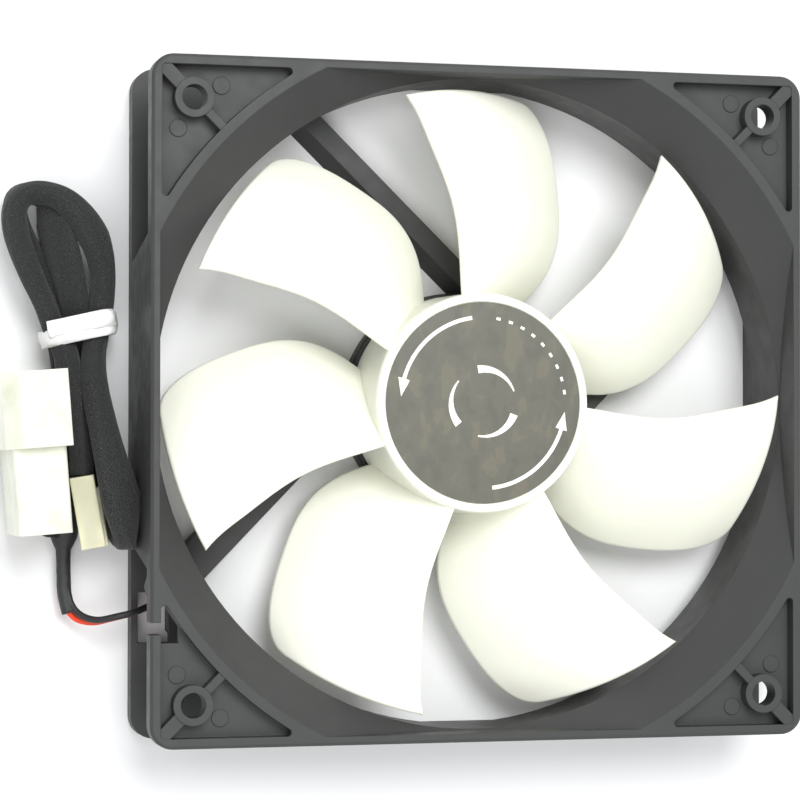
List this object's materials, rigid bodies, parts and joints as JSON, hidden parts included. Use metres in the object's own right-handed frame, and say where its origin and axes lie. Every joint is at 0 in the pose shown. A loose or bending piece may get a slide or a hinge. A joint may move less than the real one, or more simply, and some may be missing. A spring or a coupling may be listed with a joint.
{
  "type": "case fan",
  "caption": "Square axial case fan with a seven-blade rotor on a sleeve bearing, a strut-mounted motor and a tied sleeved lead with two connectors.",
  "frame": {"origin": "middle of the rear (strut side) face, on the rotor's axis", "axes": "+Z along the rotor's axis towards the open front; -X is the side where the lead comes out"},
  "size_m": [0.1455, 0.12, 0.025],
  "materials": {
    "frame_plastic": "moulded, satin",
    "rotor_plastic": "moulded, slightly translucent",
    "hub_film": "printed film, satin",
    "rear_film": "blank film",
    "yoke_steel": "zinc plated, drawn",
    "magnet": "bonded ferrite",
    "polished_steel": "ground",
    "bronze": "sintered, oily",
    "nylon_washer": "natural nylon",
    "core_steel": "stacked sheets",
    "insulator": "moulded",
    "copper": "enamelled wire",
    "board": "solder mask",
    "chip_black": "moulded",
    "chip_tan": "ceramic",
    "tin": "tinned",
    "lead_black": "vinyl",
    "lead_red": "vinyl",
    "shrink_film": "shrunk film",
    "braid": "fine braid",
    "tie_plastic": "vinyl over wire",
    "nylon_white": "natural nylon",
    "nylon_cream": "natural nylon"
  },
  "bodies": {
    "housing": {"frame_housing": "frame_plastic", "rear_label": "rear_film", "sleeve_bearing": "bronze", "oil_seal_ring": "nylon_washer", "wear_pad": "nylon_washer", "bearing_cap": "chip_black", "stator_core": "core_steel", "lower_insulator": "insulator", "upper_insulator": "insulator", "coil_windings": "copper", "terminal_pins": "tin", "circuit_board": "board", "hall_sensor": "chip_black", "drive_chip": "chip_black", "resistors": "chip_black", "capacitors": "chip_tan", "strut_lead_black": "lead_black", "strut_lead_red": "lead_red", "lead_black": "lead_black", "lead_red": "lead_red", "shrink_tubing": "shrink_film", "splice_boot": "shrink_film", "connector_pigtail": "shrink_film", "sleeve_lower": "braid", "sleeve_tail": "braid", "lead_hank": "braid", "twist_tie": "tie_plastic", "four_pin_housing": "nylon_white", "four_pin_contacts": "tin", "three_pin_housing": "nylon_cream", "three_pin_contacts": "tin"},
    "rotor": {"impeller": "rotor_plastic", "hub_label": "hub_film", "rotor_yoke": "yoke_steel", "magnet_ring": "magnet", "shaft": "polished_steel", "shaft_insert": "bronze", "retaining_clip": "nylon_washer"}
  },
  "joints": [
    {"name": "rotor_spin", "type": "hinge", "parent": "housing", "child": "rotor", "pos_m": [0, 0, 0.0125], "axis": [0, 0, 1], "continuous": true}
  ]
}
